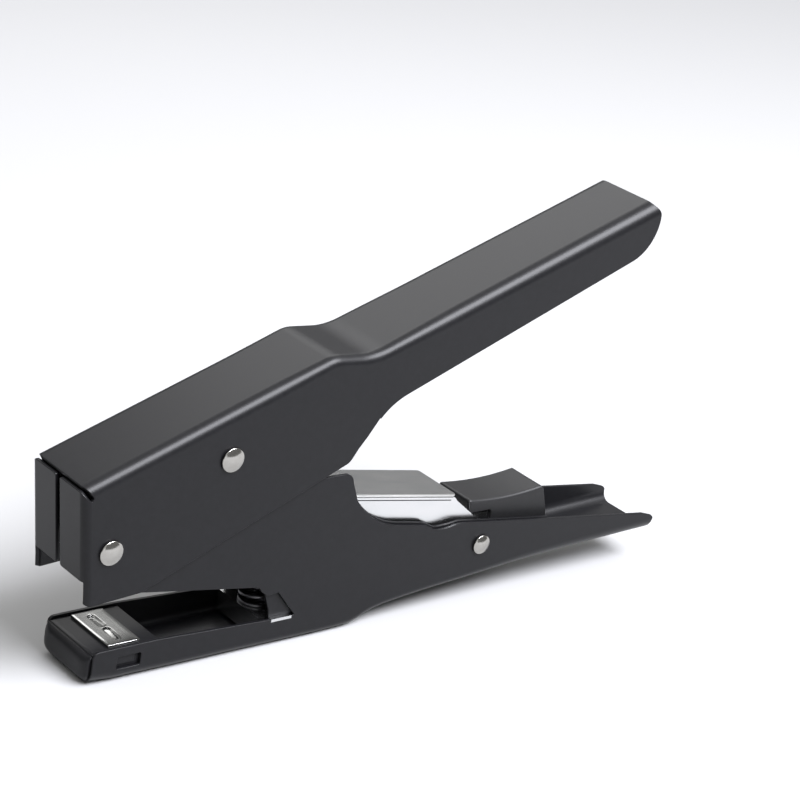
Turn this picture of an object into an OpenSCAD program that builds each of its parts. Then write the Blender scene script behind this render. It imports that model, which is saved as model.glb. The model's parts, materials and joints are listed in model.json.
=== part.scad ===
// Plier stapler: a squeeze-handle stapler of pressed sheet steel.
// X runs from the jaw (front, minus) to the handles (rear, plus), Y across, Z up.
// The side profiles are drawn from a datum on the underside of the jaw, a little
// behind its front end. origin_x then moves that datum so that the frame's origin
// lies at the bottom centre of the whole stapler.
// The stapler is drawn open, as it rests in use.

/* [Sheet metal] */
// Outer width of the upper lever's channel
lever_w = 24; // [22:0.5:26]
// Plate thickness of both levers
plate_t = 1; // [0.8:0.1:1.1]
// Gap between the upper lever's side plates and the lower lever's
side_gap = 0.2; // [0.1:0.05:0.3]
// Bend radius along the upper lever's top edges, on its head
head_bend_r = 3.2; // [3:0.1:3.3]
// The same bend on the step between head and handle
step_bend_r = 2.8; // [2.5:0.1:2.9]
// The same bend on the handle
handle_bend_r = 3.6; // [3.4:0.1:3.8]
// Bend radius along the lower lever's bottom edges
web_bend_r = 2.2; // [1.8:0.1:2.2]
// The same bend on the tail's last stretch
tail_bend_r = 2.6; // [2.5:0.1:2.6]
// Thickness of the magazine's sheet
thin_t = 0.8; // [0.6:0.1:1]

/* [Pivots] */
// Fulcrum pin, distance behind the datum (it lies in front of it)
fulcrum_x = -2.9; // [-3.5:0.1:-2]
// Fulcrum pin height
fulcrum_z = 37.4; // [36:0.1:39]
// Fulcrum pin shank radius
fulcrum_r = 2.5; // [2:0.1:2.8]
// Push pin, distance behind the datum
push_x = 29.8; // [29:0.1:31]
// Push pin height
push_z = 56.8; // [56:0.1:58]
// Push pin shank radius
push_r = 2.2; // [1.8:0.1:2.4]
// Radius of the roller on the push pin
roller_r = 4; // [3.5:0.1:4.2]
// Magazine pivot, distance behind the datum
pivot_x = 120.6; // [119:0.1:122]
// Magazine pivot height
pivot_z = 16.8; // [16:0.1:17.5]
// Magazine pivot pin radius
pivot_r = 2; // [1.5:0.1:2.2]
// Running clearance of every pin in its bore
run_gap = 0.05; // [0.02:0.01:0.08]
// Head radius of the two upper pins
head_r = 3.25; // [3:0.05:3.5]
// Head radius of the magazine pivot pin
small_head_r = 2.8; // [2.5:0.05:3]
// Height of a pin head
head_h = 1.5; // [1:0.1:1.8]

/* [Magazine] */
// Slope of the staple track while the stapler is open, degrees, front end higher
track_tilt = 3; // [2.5:0.5:3.5]
// Slope of the magazine cover while the stapler is open
cover_tilt = 9.3; // [9:0.1:9.5]
// How far the driver arm still has to turn in the magazine, degrees
arm_lift = 7.7; // [7:0.1:8]
// Width of the magazine's walls
magazine_w = 16.1; // [16:0.05:16.1]
// Width of the magazine cover
cover_w = 17.8; // [17.4:0.1:17.8]
// Width of the feed rail, which the staples straddle
rail_w = 11.8; // [11.6:0.1:11.9]
// Width of a staple's crown
crown_w = 12.9; // [12.8:0.1:13]
// Length of the loaded staple strip
strip_l = 52.4; // [20:0.1:53]
// Width of the loading knob
knob_w = 13.4; // [13:0.1:14]

/* [Anvil] */
// Height of the jaw's anvil surface
anvil_z = 9.3; // [9.2:0.1:9.5]
// Anvil plate, front to back
anvil_l = 9.3; // [8:0.1:10]
// Anvil plate, across
anvil_w = 17.4; // [17:0.1:18]

/* [Springs] */
// Mean radius of the lifting spring
lift_spring_r = 4.3; // [4:0.1:4.5]
// Wire radius of the lifting spring
lift_wire_r = 0.45; // [0.35:0.05:0.5]
// Turns of the lifting spring
lift_turns = 4; // [3:0.5:4.5]
// Mean radius of the pusher spring
feed_spring_r = 1.25; // [1.1:0.05:1.3]
// Turns of the pusher spring
feed_turns = 17; // [10:1:20]

/* [Hidden] */

// Distance from the frame's origin, at the middle of the whole length, to the datum
origin_x = 88.2655;
// A cut that must pass clean through a wall overshoots it by this much
over = 1;
// Gap between two solids that only lie against each other
touch = 0.05;

lever_in = lever_w - 2 * plate_t;
lower_w = lever_in - 2 * side_gap;
lower_in = lower_w - 2 * plate_t;
inner_w = lower_in - 2 * touch;
inner_in = inner_w - 2 * thin_t;
magazine_in = magazine_w - 2 * thin_t;

// Slopes of the upper lever's top, degrees: head, step and handle
head_slope = 19.5;
step_slope = -4.3;
handle_slope = 19.8;
// Points where the top surface changes slope
nose_x = -11.8;
nose_z = 55.08;
step_x1 = 58.6;
step_z1 = nose_z + (step_x1 - nose_x) * tan(head_slope);
step_x2 = 71.5;
step_z2 = step_z1 + (step_x2 - step_x1) * tan(step_slope);
lever_end_x = 165.2;
end_r = 4.4;
// The lever's front: a point on it, its lean and the bend radius of its upright corners
front_x = -12.2;
front_z = 53;
front_lean = 7;
front_bend_r = 2.2;

// The lower lever's underside, from under the jaw to past the tail
under_line = [
    [-30, 0], [76.6, 0], [80.6, 1.1], [84.2, 2.7], [88.6, 3.7], [98.6, 4.8], [115, 6.1], [148.6, 7.9],
    [200, 9.3]
];
// The runs of it whose two edges are rounded, each with its bend radius
rounded_runs = [[0, web_bend_r], [6, web_bend_r], [7, tail_bend_r]];

// Top of the lifting spring's seat, and where its two ears lie
seat_z = 7.6;
ear_x = [50.9, 57.4];

// Heights along the staple track, measured from the magazine pivot
floor_w0 = 0.5;
floor_w1 = floor_w0 + thin_t;
rail_w0 = 3.3;
rail_w1 = 7.1;
wire = 0.5;
crown_w1 = rail_w1 + touch + wire;
driver_u = -114;
arm_pin_u = -62;
arm_pin_w = 12.5;
arm_pin_r = 1.5;
strip_u0 = driver_u + 0.4;
pusher_u0 = strip_u0 + strip_l + 0.1;
pusher_u1 = pusher_u0 + 10;
rail_u0 = driver_u + 1.1;
rail_u1 = 20;
rod_w = 4.8;
rod_r = 0.6;
rail_stop_u = -2;
knob_pin_u = 14;

steel_black = [0.13, 0.13, 0.14];
nickel = [0.78, 0.78, 0.76];
zinc = [0.82, 0.83, 0.84];
chrome = [0.9, 0.9, 0.9];
dark_spring = [0.3, 0.3, 0.32];
plastic_black = [0.1, 0.1, 0.1];

// ---------------------------------------------------------------- placing

// From the datum's coordinates to the frame's
module in_frame() {
    translate([-origin_x, 0, 0]) children();
}

// A side profile, drawn in X and Z, given a width across
module across(width) {
    rotate([90, 0, 0]) linear_extrude(width, center = true) children();
}

// Coordinates along the staple track, with the magazine pivot as their zero
module on_track() {
    in_frame() translate([pivot_x, 0, pivot_z]) rotate([0, track_tilt, 0]) children();
}

// Coordinates of the driver arm, zero at its pin, raised to its rest angle
module on_arm() {
    on_track() translate([arm_pin_u, 0, arm_pin_w]) rotate([0, arm_lift, 0]) children();
}

// ---------------------------------------------------------------- shared shapes

// A cylinder across the stapler, centred on Y
module cross_cylinder(r, length) {
    rotate([90, 0, 0]) cylinder(r = r, h = length, center = true, $fn = 48);
}

// A riveted pin: a shank with a slightly domed head at each end
module headed_pin(shank_r, rivet_r, grip) {
    cross_cylinder(shank_r, grip + head_h);
    for (side = [-1, 1])
        rotate([-90 * side, 0, 0]) translate([0, 0, grip / 2])
            rotate_extrude($fn = 64) pin_head(rivet_r);
}

// Half the section of a pin head: straight flank, rounded rim, flat face
module pin_head(r) {
    rim = 0.5;
    square([r - rim, head_h]);
    square([r, head_h - rim]);
    translate([r - rim, head_h - rim]) circle(rim, $fn = 32);
}

// A tube across the stapler
module cross_tube(r_out, r_in, length) {
    difference() {
        cross_cylinder(r_out, length);
        cross_cylinder(r_in, length + over);
    }
}

// Points of an arc about a centre, from one angle to another
function arc(cx, cz, r, from, to, steps = 8) =
    [for (i = [0:steps]) let (a = from + (to - from) * i / steps) [cx + r * cos(a), cz + r * sin(a)]];

// One ring of a swept coil, around its point on the helix
function coil_ring(r, wire_r, rise, a, sides) =
    [for (j = [0:sides - 1]) let (b = 360 * j / sides)
        [(r + wire_r * cos(b)) * cos(a), (r + wire_r * cos(b)) * sin(a), rise * a / 360 + wire_r * sin(b)]];

// A coil of round wire standing on Z, from the centre of its first turn
module coil(r, wire_r, rise, turns, sides = 6, steps = 16) {
    rings = turns * steps;
    points = [for (i = [0:rings]) each coil_ring(r, wire_r, rise, 360 * i / steps, sides)];
    skin = [for (i = [0:rings - 1]) for (j = [0:sides - 1])
        let (a = i * sides, b = a + sides, k = (j + 1) % sides) [a + j, b + j, b + k, a + k]];
    start_cap = [[for (j = [0:sides - 1]) j]];
    end_cap = [[for (j = [0:sides - 1]) rings * sides + sides - 1 - j]];
    polyhedron(points, concat(skin, start_cap, end_cap), convexity = 10);
}

// ---------------------------------------------------------------- upper lever

// A channel's section with two rounded top corners, drawn hanging below its top line
module hood_section(width, depth, r) {
    translate([-width / 2, -depth]) square([width, depth - r]);
    translate([-width / 2 + r, -r - over]) square([width - 2 * r, r + over]);
    for (side = [-1, 1]) translate([side * (width / 2 - r), -r]) circle(r, $fn = 48);
}

// A straight run of that channel whose top line starts at a point and climbs at a slope
module hood_run(x, z, slope, back, length, width, depth, r) {
    translate([x, 0, z]) rotate([0, -slope, 0]) translate([-back, 0, 0])
        rotate([90, 0, 90]) linear_extrude(length) hood_section(width, depth, r);
}

// Everything under the lever's top surface, lowered by inset for the inside of the sheet.
// The handle's run also passes under the head, where it lies inside the head's own run.
module under_top(inset) {
    width = lever_w - 2 * inset;
    drop_head = inset / cos(head_slope);
    drop_handle = inset / cos(handle_slope);
    long = 300;
    deep = 120;
    intersection() {
        hood_run(nose_x, nose_z - drop_head, head_slope, 60, long, width, deep, head_bend_r - inset);
        hood_run(step_x1, step_z1 - inset, step_slope, 120, long, width, deep, step_bend_r - inset);
    }
    hood_run(step_x2, step_z2 - drop_handle, handle_slope, 140, long, width, deep,
        handle_bend_r - inset);
}

// Side profile of the upper lever's plates, with room above and in front for other cuts
module lever_profile() {
    polygon(concat(
        [[-20, 120], [-20, 29], [-9.4, 27.2]],
        arc(-6.6, 26.3, 2.95, 172, 258, 6),
        [[7.6, 24.4], [9.5, 25.1], [66.6, 49.3]],
        arc(65.6, 52.8, 3.6, -67, -36, 4),
        [[70.3, 53.5], [75.9, 61.2]],
        arc(90.8, 49.2, 18.8, 141.5, 112, 6),
        [[89.6, 68.7], [155.6, 95.2]],
        arc(152.6, 107.6, 12.6, -68, 0, 8),
        arc(lever_end_x - end_r, 107.8, end_r, 5, 70, 6),
        [[lever_end_x - end_r + 1, 120]]
    ));
}

// Everything behind the lever's leaning front, with upright rounded corners
module behind_front(inset) {
    width = lever_w - 2 * inset;
    r = front_bend_r - inset;
    translate([front_x, 0, front_z]) rotate([0, -front_lean, 0])
        translate([inset, 0, -60]) linear_extrude(200) union() {
            translate([r, -width / 2]) square([300, width]);
            translate([0, -width / 2 + r]) square([300, width - 2 * r]);
            for (side = [-1, 1]) translate([r, side * (width / 2 - r)]) circle(r, $fn = 48);
        }
}

module upper_lever() {
    slit = 1.8;
    tab_top = 52.7;
    tab_bottom = 29.9;
    leg_lip = 0.3;
    color(steel_black) in_frame() difference() {
        intersection() {
            across(lever_w) lever_profile();
            under_top(0);
            behind_front(0);
        }
        intersection() {
            under_top(plate_t);
            behind_front(plate_t);
        }
        // Slit between the two tabs that are folded in from the side plates
        translate([front_x - 2, -slit / 2, 20]) cube([6, slit, tab_top - 20]);
        // Gap between the tabs and the top plate's front edge
        translate([front_x - 2, -lever_w, tab_top]) cube([2 + plate_t + 0.4, 2 * lever_w, 0.8]);
        // The tabs end above the side plates' lower corners
        translate([front_x - 2, -lever_in / 2 + leg_lip, 20])
            cube([10, lever_in - 2 * leg_lip, tab_bottom - 20]);
        translate([fulcrum_x, 0, fulcrum_z]) cross_cylinder(fulcrum_r, lever_w + over);
        translate([push_x, 0, push_z]) cross_cylinder(push_r, lever_w + over);
    }
}

module fulcrum_pin() {
    color(nickel) in_frame() translate([fulcrum_x, 0, fulcrum_z])
        headed_pin(fulcrum_r, head_r, lever_w);
}

module push_pin() {
    color(nickel) in_frame() translate([push_x, 0, push_z])
        headed_pin(push_r, head_r, lever_w);
}

module push_roller() {
    color(nickel) in_frame() translate([push_x, 0, push_z])
        cross_tube(roller_r, push_r + run_gap, magazine_in);
}

// ---------------------------------------------------------------- lower lever

// Underside of the plates, from the jaw's front to the tail
function underside() = concat(
    arc(-1.7, 1.5, 1.5, 180, 270, 5),
    [for (i = [1:len(under_line) - 2]) under_line[i]],
    [[185.6, 8.9]]
);

// Tail end and top edge of the plates, from the tail forward to the hump
function plate_top() = concat(
    arc(186.3, 11.6, 2.75, -75, 60, 8),
    [[183.8, 15.2], [112, 24.5]],
    [[106.5, 23.9], [103, 24.1], [99.2, 26]],
    arc(94.2, 52.5, 25.2, 258, 216, 8),
    [[71.6, 43]],
    arc(68.4, 42.8, 3.2, 30, 95, 5),
    [[57, 46.2]]
);

// The finger over the throat, and the throat itself
function finger_and_throat() = concat(
    [[45, 39.6], [20, 39.6], [4, 42.4]],
    arc(fulcrum_x, fulcrum_z, 5.4, 60, 215, 12),
    [[2.5, 24.6], [44.6, 18]],
    arc(44.3, 16, 2, 80, 15, 5),
    [[48.4, 14.9], [52, 15.2], [58.3, 7.6], [50.8, 7.6], [16, 9.2]],
    arc(-1.6, 7.6, 1.6, 90, 180, 5)
);

module lower_profile() {
    polygon(concat(underside(), plate_top(), finger_and_throat()));
}

// What the bend takes off one straight run of the lower lever's two bottom edges
module edge_waste(from, to, r) {
    slope = atan2(to[1] - from[1], to[0] - from[0]);
    translate([from[0], 0, from[1]]) rotate([0, -slope, 0]) translate([-0.2, 0, 0])
        rotate([90, 0, 90]) linear_extrude(norm(to - from) + 0.4)
            for (side = [-1, 1]) difference() {
                translate([side * (lower_w / 2 - r / 2 + over / 2) - (r + over) / 2, -over])
                    square([r + over, r + over]);
                translate([side * (lower_w / 2 - r), r]) circle(r, $fn = 48);
            }
}

// Wedges that fill the inside of the tail's two bends
module tail_fillets() {
    first = under_line[7];
    last = under_line[8];
    slope = atan2(last[1] - first[1], last[0] - first[0]);
    r = tail_bend_r - plate_t;
    translate([first[0], 0, first[1] + plate_t]) rotate([0, -slope, 0])
        rotate([90, 0, 90]) linear_extrude(188.2 - first[0])
            for (side = [-1, 1]) difference() {
                translate([side * (lower_in / 2 - r / 2 + 0.1) - r / 2 - 0.1, -0.2])
                    square([r + 0.2, r + 0.2]);
                translate([side * (lower_in / 2 - r), r]) circle(r, $fn = 48);
            }
}

// The strip of sheet along the underside that joins the two plates
module web_profile() {
    last = 188.2;
    intersection() {
        lower_profile();
        difference() {
            translate([-10, -1]) square([10 + last, 30]);
            translate([0, plate_t]) polygon(concat(under_line, [[200, 60], [-30, 60]]));
        }
    }
}

// The windows in the jaw that the anvil block's lugs snap into
module jaw_window() {
    translate([4, 3.3]) square([7, 3.4]);
}

module lower_lever() {
    color(steel_black) in_frame() difference() {
        union() {
            for (side = [-1, 1])
                translate([0, side * (lower_w - plate_t) / 2, 0]) across(plate_t) lower_profile();
            across(lower_w) web_profile();
            tail_fillets();
        }
        for (run = rounded_runs) edge_waste(under_line[run[0]], under_line[run[0] + 1], run[1]);
        across(lower_w + over) jaw_window();
        across(lower_w + over) translate([ear_x[0] - touch, 0]) ear_slot();
        translate([fulcrum_x, 0, fulcrum_z]) cross_cylinder(fulcrum_r + run_gap, lower_w + over);
        translate([pivot_x, 0, pivot_z]) cross_cylinder(pivot_r, lower_w + over);
    }
}

// The slot in each plate that takes an ear of the spring seat
module ear_slot() {
    translate([0, seat_z - thin_t - touch]) square([ear_x[1] - ear_x[0] + 2 * touch, thin_t + 3 * touch]);
}

module inner_profile() {
    polygon(concat(
        [[51, 2], [75, 2], [78.2, 4], [84, 7.5], [98.4, 9.4], [146, 11.4], [146, 20.3], [112, 24.9], [106.5, 24.4], [103, 24.6], [99.3, 26.6]],
        arc(94.2, 53, 25.2, 258, 218, 8),
        [[72, 42], [69, 44], [58, 43], [50, 34], [46, 24], [46, 17.2], [48.4, 14.9], [50.3, 10]]
    ));
}

module inner_channel() {
    color(steel_black) in_frame() difference() {
        union() {
            for (side = [-1, 1])
                translate([0, side * (inner_w - thin_t) / 2, 0]) across(thin_t) inner_profile();
            difference() {
                translate([51, 0, plate_t + touch]) rotate([90, 0, 90])
                    linear_extrude(24) mirror([0, 1]) hood_section(inner_w, 10, 1.3);
                translate([50, -inner_in / 2, plate_t + touch + thin_t]) cube([26, inner_in, 60]);
                translate([50, -inner_w, 2.4]) cube([26, 2 * inner_w, 60]);
            }
        }
        across(inner_w + over) translate([ear_x[0] - touch, 0]) ear_slot();
        translate([pivot_x, 0, pivot_z]) cross_cylinder(pivot_r, inner_w + over);
    }
}

module magazine_pivot_pin() {
    color(nickel) in_frame() translate([pivot_x, 0, pivot_z])
        headed_pin(pivot_r, small_head_r, lower_w);
}

module fulcrum_spacer() {
    color(nickel) in_frame() translate([fulcrum_x, 0, fulcrum_z])
        cross_tube(fulcrum_r + thin_t, fulcrum_r + run_gap, lower_in);
}

// ---------------------------------------------------------------- anvil

// Side view of the block: a strip folded over the front of the jaw
module block_profile(inset) {
    top = anvil_z - thin_t - inset;
    front = -5 + inset;
    r = 3 - inset;
    bottom = inset;
    translate([front + r, bottom]) square([18 - front, top - bottom]);
    translate([front, bottom + r]) square([18 - front, top - bottom - 2 * r]);
    for (z = [bottom + r, top - r]) translate([front + r, z]) circle(r, $fn = 48);
}

module anvil_block() {
    wall = 1.2;
    rear = 16.8;
    block_w = lower_in - 2 * touch;
    plan_r = 3.4;
    color(steel_black) in_frame() {
        // Front cap, as wide as the jaw, with rounded corners in plan
        difference() {
            intersection() {
                across(lower_w) block_profile(0);
                union() {
                    translate([-5 + plan_r, -lower_w / 2, -over]) cube([plan_r, lower_w, 12]);
                    translate([-5, -lower_w / 2 + plan_r, -over])
                        cube([plan_r * 2, lower_w - 2 * plan_r, 12]);
                    for (side = [-1, 1])
                        translate([-5 + plan_r, side * (lower_w / 2 - plan_r), -over])
                            cylinder(r = plan_r, h = 12, $fn = 48);
                }
                translate([-6, -lower_w, -over]) cube([6 - 3.25, 2 * lower_w, 12]);
            }
            across(lower_w - 2 * wall) block_profile(wall);
        }
        // Top strip and side flanges inside the jaw
        difference() {
            intersection() {
                across(block_w) block_profile(0);
                translate([-3.3, -block_w / 2, plate_t + touch]) cube([rear + 3.3, block_w, 12]);
            }
            translate([-3.4, -block_w / 2 + wall, -over])
                cube([rear + 6, block_w - 2 * wall, anvil_z - thin_t - wall + over]);
        }
        // Lugs that snap into the jaw's windows
        for (side = [-1, 1])
            translate([4.1, side * (block_w / 2 - 0.2) - 0.5, 4.2]) cube([5.4, 1, 2.4]);
    }
}

// One clinching groove: a shallow trough with round ends
module clinch_groove(y0, y1) {
    r = 0.9;
    depth = 0.5;
    for (y = [y0 + r, y1 - r]) translate([0, y, anvil_z - depth]) cylinder(r = r, h = 2, $fn = 32);
    translate([-r, y0 + r, anvil_z - depth]) cube([2 * r, y1 - y0 - 2 * r, 2]);
}

module anvil_plate() {
    front = 2.3;
    color(chrome) in_frame() difference() {
        translate([front, -anvil_w / 2, anvil_z - thin_t]) cube([anvil_l, anvil_w, thin_t]);
        translate([6.6, 0, 0]) clinch_groove(0.7, 7.1);
        translate([6.6, 0, 0]) clinch_groove(-7.1, -0.7);
    }
}

// ---------------------------------------------------------------- lifting spring

module spring_seat() {
    front = 48;
    back = 58.1;
    color(nickel) in_frame() {
        translate([front, -inner_in / 2 + 0.1, seat_z - thin_t])
            cube([back - front, inner_in - 0.2, thin_t]);
        translate([ear_x[0], -lower_w / 2, seat_z - thin_t])
            cube([ear_x[1] - ear_x[0], lower_w, thin_t]);
        for (x = [front, back - thin_t])
            translate([x, -inner_in / 2 + 0.1, 1 + thin_t + 2 * touch])
                cube([thin_t, inner_in - 0.2, seat_z - 2]);
    }
}

module lifting_spring() {
    spring_x = 53.4;
    bottom = seat_z + lift_wire_r + touch;
    top = pivot_z + (pivot_x - spring_x - lift_spring_r) * sin(track_tilt) + floor_w0 - lift_wire_r - 0.1;
    color(dark_spring) in_frame() translate([spring_x, 0, bottom])
        coil(lift_spring_r, lift_wire_r, (top - bottom) / lift_turns, lift_turns, 8, 24);
}

// ---------------------------------------------------------------- magazine

// Side view of the magazine's walls in track coordinates
module wall_profile() {
    polygon(concat(
        [[-115.4, floor_w0], [-5, floor_w0]],
        arc(0, 0, 4.4, 200, 375, 12),
        [[3.2, 4.2], [0.6, 5.6], [-9.4, 12.7], [-10.6, 13.9], [-59.2, 19.3], [-66, 15.4], [-69, 9.6],
         [-115.4, 9.6]]
    ));
}

module magazine_channel() {
    rib_w = 9;
    floor_u0 = driver_u + 2;
    floor_l = -8 - floor_u0;
    color(zinc) on_track() difference() {
        union() {
            for (side = [-1, 1])
                translate([0, side * (magazine_w - thin_t) / 2, 0]) across(thin_t) wall_profile();
            // Floor with a raised rib that carries the rail between the staples' legs
            translate([floor_u0, -magazine_w / 2, floor_w0]) cube([floor_l, magazine_w, thin_t]);
            for (side = [-1, 1])
                translate([floor_u0, side * (rib_w - thin_t) / 2 - thin_t / 2, floor_w0])
                    cube([floor_l, thin_t, rail_w0 - touch - floor_w0]);
            translate([floor_u0, -rib_w / 2, rail_w0 - touch - thin_t])
                cube([floor_l, rib_w, thin_t]);
        }
        cross_cylinder(pivot_r + run_gap, magazine_w + over);
        translate([arm_pin_u, 0, arm_pin_w]) cross_cylinder(arm_pin_r, magazine_w + over);
    }
}

// Top plate that slopes with the lever's finger, its two long edges folded down a little
module magazine_cover() {
    s0 = -40.4;
    s1 = 11;
    corner = 2;
    fold = 1.6;
    bend = 1;
    color(zinc) in_frame() translate([100, 0, 34]) rotate([0, cover_tilt, 0]) difference() {
        intersection() {
            // Section with two bent edges
            translate([s0, 0, 0]) rotate([90, 0, 90]) linear_extrude(s1 - s0)
                hood_section(cover_w, fold, bend);
            // Plan with rounded rear corners
            translate([0, 0, -5]) linear_extrude(10) union() {
                translate([s0, -cover_w / 2]) square([s1 - s0 - corner, cover_w]);
                translate([s0, -cover_w / 2 + corner]) square([s1 - s0, cover_w - 2 * corner]);
                for (side = [-1, 1])
                    translate([s1 - corner, side * (cover_w / 2 - corner)]) circle(corner, $fn = 48);
            }
        }
        translate([s0 - over, -cover_w / 2 + thin_t, -thin_t - 5])
            cube([s1 - s0 + 2 * over, cover_w - 2 * thin_t, 5]);
    }
}

module nose_plate() {
    front = driver_u - 2.4;
    height = 10.5;
    lip = 3;
    color(zinc) on_track() {
        translate([front, -magazine_w / 2 - thin_t - touch, floor_w0])
            cube([thin_t, magazine_w + 2 * (thin_t + touch), height]);
        for (side = [-1, 1])
            translate([front, side * (magazine_w / 2 + touch + thin_t / 2) - thin_t / 2, floor_w0])
                cube([thin_t + lip + 1, thin_t, height]);
    }
}

module pivot_sleeve() {
    color(nickel) on_track() cross_tube(3, pivot_r + run_gap, magazine_in - 2 * touch);
}

module arm_pin() {
    color(nickel) on_track() translate([arm_pin_u, 0, arm_pin_w])
        cross_cylinder(arm_pin_r, magazine_w);
}

module staple_strip() {
    leg = 6.2;
    color(zinc) on_track() translate([strip_u0, 0, 0]) difference() {
        translate([0, -crown_w / 2, crown_w1 - leg]) cube([strip_l, crown_w, leg]);
        translate([-over, -crown_w / 2 + wire, crown_w1 - wire - leg])
            cube([strip_l + 2 * over, crown_w - 2 * wire, leg]);
    }
}

// ---------------------------------------------------------------- driver

// Side view of the driver arm about its pin, as it lies when the blade stands square
module arm_profile(inset) {
    polygon([
        [3, -2.6], [-52 + 0.3 + inset * 0, -2.6], [-52 + 0.3 + inset, 8.2 - inset],
        [-46 + inset * 0.5, 8.2 - inset], [-37.5 + inset * 0.5, 14.1 - inset],
        [-17.5 - inset * 0.3, 15.4 - inset], [3 - inset * 0.2, 1.8 - inset]
    ]);
}

module driver_arm() {
    arm_w = 13.2;
    color(steel_black) on_arm() difference() {
        union() {
            across(arm_w) arm_profile(0);
            cross_cylinder(3, arm_w);
        }
        across(arm_w - 2 * thin_t) translate([0, -0.01]) difference() {
            translate([-51.7 + thin_t, -10]) square([60, 30]);
            difference() {
                translate([-60, -12]) square([80, 40]);
                translate([0, -thin_t]) union() {
                    arm_profile(0);
                    translate([-51, -10]) square([56, 8]);
                }
            }
        }
        cross_cylinder(arm_pin_r + run_gap, arm_w + over);
    }
}

module driver_blade() {
    blade_w = 12.5;
    blade_t = 0.5;
    bottom = floor_w0 + 0.3 - arm_pin_w;
    color(chrome) on_arm() translate([-52 - blade_t / 2, -blade_w / 2, bottom])
        cube([blade_t, blade_w, 7.6 - bottom]);
}

module driver_rivets() {
    color(nickel) on_arm() for (side = [-1, 1])
        translate([-52.25, side * 3.5, 3.6]) rotate([0, -90, 0]) cylinder(r = 1.3, h = 0.5, $fn = 32);
}

// A close-wound spring round the arm's pin that lifts the arm in the magazine
module arm_spring() {
    turns = 9;
    pitch = 1;
    color(dark_spring) on_arm() {
        translate([0, turns * pitch / 2, 0]) rotate([90, 0, 0])
            coil(2.2, 0.35, pitch, turns, 6, 16);
    }
}

// ---------------------------------------------------------------- feed

module feed_rail() {
    length = rail_u1 - rail_u0;
    slot_w = 2.4;
    color(zinc) on_track() difference() {
        translate([rail_u0, -rail_w / 2, rail_w0]) cube([length, rail_w, rail_w1 - rail_w0]);
        // Hollow in front of the stop and behind it
        translate([rail_u0 + thin_t, -rail_w / 2 + thin_t, rail_w0 - over])
            cube([rail_stop_u - rail_u0 - thin_t, rail_w - 2 * thin_t, rail_w1 - rail_w0 + over - thin_t]);
        translate([rail_stop_u + thin_t, -rail_w / 2 + thin_t, rail_w0 - over])
            cube([rail_u1 - rail_stop_u, rail_w - 2 * thin_t, rail_w1 - rail_w0 + over - thin_t]);
        // Slot that the pusher's tongue runs in
        translate([rail_u0 + 6, -slot_w / 2, rail_w0])
            cube([rail_stop_u - 4 - rail_u0 - 6, slot_w, rail_w1]);
        translate([rail_stop_u - over, 0, rod_w]) rotate([0, 90, 0])
            cylinder(r = rod_r, h = thin_t + 2 * over, $fn = 32);
        translate([knob_pin_u, 0, rail_w0 + 1.9]) cross_cylinder(1, rail_w + over);
    }
}

module loading_knob() {
    slot_gap = 0.05;
    color(plastic_black) on_track() difference() {
        across(knob_w) difference() {
            polygon([
                [-2.6, 12], [-1.8, 7.6], [4.8, 7.8], [5.6, 7.2], [6.2, -3], [28.6, -3],
                [27, 5.2], [24, 14]
            ]);
            translate([4.8, 105.2]) circle(94, $fn = 360);
        }
        translate([-4, -rail_w / 2 - slot_gap, rail_w0 - slot_gap])
            cube([rail_u1 + 4 + slot_gap, rail_w + 2 * slot_gap, rail_w1 - rail_w0 + 2 * slot_gap]);
        translate([knob_pin_u, 0, rail_w0 + 1.9]) cross_cylinder(1, knob_w + over);
    }
}

module knob_pin() {
    color(nickel) on_track() translate([knob_pin_u, 0, rail_w0 + 1.9]) cross_cylinder(1, knob_w);
}

module spring_rod() {
    color(zinc) on_track() translate([rail_u0 + thin_t, 0, rod_w]) rotate([0, 90, 0])
        cylinder(r = rod_r, h = 8 - rail_u0 - thin_t, $fn = 32);
}

// A saddle over the rail, with a tongue through the rail's slot that the spring presses on
module staple_pusher() {
    length = pusher_u1 - pusher_u0;
    outer = rail_w + 2;
    tongue = 2.2;
    color(zinc) on_track() difference() {
        union() {
            difference() {
                translate([pusher_u0, -outer / 2, rail_w0 + 0.3])
                    cube([length, outer, rail_w1 - rail_w0 + 1]);
                translate([pusher_u0 - over, -rail_w / 2 - touch, rail_w0 - over])
                    cube([length + 2 * over, rail_w + 2 * touch, rail_w1 - rail_w0 + over + touch]);
            }
            translate([pusher_u0, -tongue / 2, rail_w0 + 0.1])
                cube([length, tongue, rail_w1 - rail_w0 + 0.5]);
        }
        translate([pusher_u0 - over, 0, rod_w]) rotate([0, 90, 0])
            cylinder(r = rod_r + run_gap, h = length + 2 * over, $fn = 32);
    }
}

module pusher_spring() {
    spring_wire = 0.2;
    from = pusher_u1 + spring_wire + touch;
    to = rail_stop_u - spring_wire - touch;
    color(dark_spring) on_track() translate([from, 0, rod_w]) rotate([0, 90, 0])
        coil(feed_spring_r, spring_wire, (to - from) / feed_turns, feed_turns, 5, 12);
}

// ---------------------------------------------------------------- nodes

lower_lever();
inner_channel();
anvil_block();
anvil_plate();
fulcrum_spacer();
magazine_pivot_pin();
spring_seat();
lifting_spring();
upper_lever();
fulcrum_pin();
push_pin();
push_roller();
magazine_channel();
magazine_cover();
nose_plate();
pivot_sleeve();
arm_pin();
staple_strip();
driver_arm();
driver_blade();
driver_rivets();
arm_spring();
feed_rail();
loading_knob();
knob_pin();
spring_rod();
staple_pusher();
pusher_spring();
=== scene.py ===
import json
import math

import bmesh
import bpy
from mathutils import Matrix, Vector


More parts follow.
